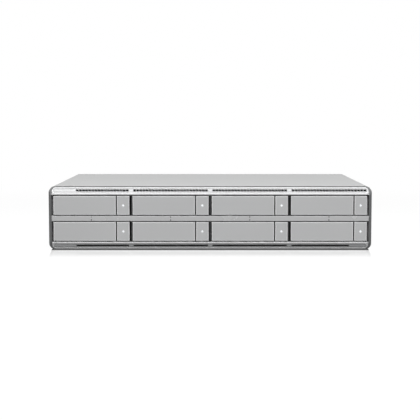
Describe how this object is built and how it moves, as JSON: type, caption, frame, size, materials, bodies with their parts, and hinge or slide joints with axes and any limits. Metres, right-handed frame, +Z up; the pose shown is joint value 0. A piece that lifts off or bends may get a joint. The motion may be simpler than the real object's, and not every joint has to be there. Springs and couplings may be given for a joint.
{
  "type": "network video recorder",
  "caption": "Two-unit rack video recorder with a rounded silver front, sliding drive trays with swing-out levers and release buttons, vented strips and rear fans.",
  "frame": {"origin": "centre of the bottom of the bounding box, on the surface the recorder stands on", "axes": "+Z up, front of the recorder towards -Y, +X to the right seen from the front"},
  "size_m": [0.4434, 0.325, 0.0874],
  "materials": {
    "case_silver": "satin powder coat",
    "rim_grey": "satin anodised",
    "fascia_silver": "satin",
    "band_light": "satin",
    "band_grey": "satin",
    "tray_silver": "satin",
    "sled_dark": "matt black",
    "drive_cast": "cast",
    "cage_steel": "zinc plated",
    "board_green": "solder mask",
    "plastic_black": "moulded",
    "light_clear": "clear moulded",
    "sink_aluminium": "plain",
    "supply_metal": "plated",
    "port_metal": "plated"
  },
  "bodies": {
    "chassis": {"chassis_base": "case_silver", "top_cover": "case_silver", "rear_panel": "case_silver", "front_rim": "rim_grey", "front_fascia": "fascia_silver", "upper_vent_band": "band_light", "lower_vent_band": "band_grey", "cage_dividers": "cage_steel", "bay_shelves": "cage_steel", "backplane_board": "board_green", "drive_connectors": "plastic_black", "main_board": "board_green", "heat_sink": "sink_aluminium", "power_supply": "supply_metal", "power_inlet": "plastic_black", "network_jack": "port_metal", "fibre_cage": "port_metal", "fan_frames": "plastic_black"},
    "tray_1": {"tray_1_sled": "sled_dark", "tray_1_drive": "drive_cast", "tray_1_light_pipe": "light_clear"},
    "lever_1": {"tray_1_lever": "tray_silver"},
    "button_1": {"tray_1_button": "tray_silver"},
    "tray_2": {"tray_2_sled": "sled_dark", "tray_2_drive": "drive_cast", "tray_2_light_pipe": "light_clear"},
    "lever_2": {"tray_2_lever": "tray_silver"},
    "button_2": {"tray_2_button": "tray_silver"},
    "tray_3": {"tray_3_sled": "sled_dark", "tray_3_drive": "drive_cast", "tray_3_light_pipe": "light_clear"},
    "lever_3": {"tray_3_lever": "tray_silver"},
    "button_3": {"tray_3_button": "tray_silver"},
    "tray_4": {"tray_4_sled": "sled_dark", "tray_4_drive": "drive_cast", "tray_4_light_pipe": "light_clear"},
    "lever_4": {"tray_4_lever": "tray_silver"},
    "button_4": {"tray_4_button": "tray_silver"},
    "tray_5": {"tray_5_sled": "sled_dark", "tray_5_drive": "drive_cast", "tray_5_light_pipe": "light_clear"},
    "lever_5": {"tray_5_lever": "tray_silver"},
    "button_5": {"tray_5_button": "tray_silver"},
    "tray_6": {"tray_6_sled": "sled_dark", "tray_6_drive": "drive_cast", "tray_6_light_pipe": "light_clear"},
    "lever_6": {"tray_6_lever": "tray_silver"},
    "button_6": {"tray_6_button": "tray_silver"},
    "tray_7": {"tray_7_sled": "sled_dark", "tray_7_drive": "drive_cast", "tray_7_light_pipe": "light_clear"},
    "lever_7": {"tray_7_lever": "tray_silver"},
    "button_7": {"tray_7_button": "tray_silver"},
    "tray_8": {"tray_8_sled": "sled_dark", "tray_8_drive": "drive_cast", "tray_8_light_pipe": "light_clear"},
    "lever_8": {"tray_8_lever": "tray_silver"},
    "button_8": {"tray_8_button": "tray_silver"},
    "fan_left": {"fan_left_rotor": "plastic_black"},
    "fan_right": {"fan_right_rotor": "plastic_black"}
  },
  "joints": [
    {"name": "tray_1_slide", "type": "slide", "parent": "chassis", "child": "tray_1", "axis": [0, -1, 0], "range_m": [0, 0.17]},
    {"name": "tray_2_slide", "type": "slide", "parent": "chassis", "child": "tray_2", "axis": [0, -1, 0], "range_m": [0, 0.17]},
    {"name": "tray_3_slide", "type": "slide", "parent": "chassis", "child": "tray_3", "axis": [0, -1, 0], "range_m": [0, 0.17]},
    {"name": "tray_4_slide", "type": "slide", "parent": "chassis", "child": "tray_4", "axis": [0, -1, 0], "range_m": [0, 0.17]},
    {"name": "tray_5_slide", "type": "slide", "parent": "chassis", "child": "tray_5", "axis": [0, -1, 0], "range_m": [0, 0.17]},
    {"name": "tray_6_slide", "type": "slide", "parent": "chassis", "child": "tray_6", "axis": [0, -1, 0], "range_m": [0, 0.17]},
    {"name": "tray_7_slide", "type": "slide", "parent": "chassis", "child": "tray_7", "axis": [0, -1, 0], "range_m": [0, 0.17]},
    {"name": "tray_8_slide", "type": "slide", "parent": "chassis", "child": "tray_8", "axis": [0, -1, 0], "range_m": [0, 0.17]},
    {"name": "tray_1_lever_swing", "type": "hinge", "parent": "tray_1", "child": "lever_1", "pos_m": [-0.20497, -0.157, 0.06117], "axis": [0, 0, -1], "range_deg": [0, 55]},
    {"name": "tray_2_lever_swing", "type": "hinge", "parent": "tray_2", "child": "lever_2", "pos_m": [-0.09642, -0.157, 0.06117], "axis": [0, 0, -1], "range_deg": [0, 55]},
    {"name": "tray_3_lever_swing", "type": "hinge", "parent": "tray_3", "child": "lever_3", "pos_m": [0.01213, -0.157, 0.06117], "axis": [0, 0, -1], "range_deg": [0, 55]},
    {"name": "tray_4_lever_swing", "type": "hinge", "parent": "tray_4", "child": "lever_4", "pos_m": [0.12068, -0.157, 0.06117], "axis": [0, 0, -1], "range_deg": [0, 55]},
    {"name": "tray_5_lever_swing", "type": "hinge", "parent": "tray_5", "child": "lever_5", "pos_m": [-0.20497, -0.157, 0.02537], "axis": [0, 0, -1], "range_deg": [0, 55]},
    {"name": "tray_6_lever_swing", "type": "hinge", "parent": "tray_6", "child": "lever_6", "pos_m": [-0.09642, -0.157, 0.02537], "axis": [0, 0, -1], "range_deg": [0, 55]},
    {"name": "tray_7_lever_swing", "type": "hinge", "parent": "tray_7", "child": "lever_7", "pos_m": [0.01213, -0.157, 0.02537], "axis": [0, 0, -1], "range_deg": [0, 55]},
    {"name": "tray_8_lever_swing", "type": "hinge", "parent": "tray_8", "child": "lever_8", "pos_m": [0.12068, -0.157, 0.02537], "axis": [0, 0, -1], "range_deg": [0, 55]},
    {"name": "tray_1_button_press", "type": "slide", "parent": "tray_1", "child": "button_1", "axis": [0, 1, 0], "range_m": [0, 0.002], "stiffness_N_per_m": 300},
    {"name": "tray_2_button_press", "type": "slide", "parent": "tray_2", "child": "button_2", "axis": [0, 1, 0], "range_m": [0, 0.002], "stiffness_N_per_m": 300},
    {"name": "tray_3_button_press", "type": "slide", "parent": "tray_3", "child": "button_3", "axis": [0, 1, 0], "range_m": [0, 0.002], "stiffness_N_per_m": 300},
    {"name": "tray_4_button_press", "type": "slide", "parent": "tray_4", "child": "button_4", "axis": [0, 1, 0], "range_m": [0, 0.002], "stiffness_N_per_m": 300},
    {"name": "tray_5_button_press", "type": "slide", "parent": "tray_5", "child": "button_5", "axis": [0, 1, 0], "range_m": [0, 0.002], "stiffness_N_per_m": 300},
    {"name": "tray_6_button_press", "type": "slide", "parent": "tray_6", "child": "button_6", "axis": [0, 1, 0], "range_m": [0, 0.002], "stiffness_N_per_m": 300},
    {"name": "tray_7_button_press", "type": "slide", "parent": "tray_7", "child": "button_7", "axis": [0, 1, 0], "range_m": [0, 0.002], "stiffness_N_per_m": 300},
    {"name": "tray_8_button_press", "type": "slide", "parent": "tray_8", "child": "button_8", "axis": [0, 1, 0], "range_m": [0, 0.002], "stiffness_N_per_m": 300},
    {"name": "fan_left_spin", "type": "hinge", "parent": "chassis", "child": "fan_left", "pos_m": [-0.062, 0.1468, 0.0436], "axis": [0, 1, 0], "continuous": true},
    {"name": "fan_right_spin", "type": "hinge", "parent": "chassis", "child": "fan_right", "pos_m": [0.022, 0.1468, 0.0436], "axis": [0, 1, 0], "continuous": true}
  ]
}
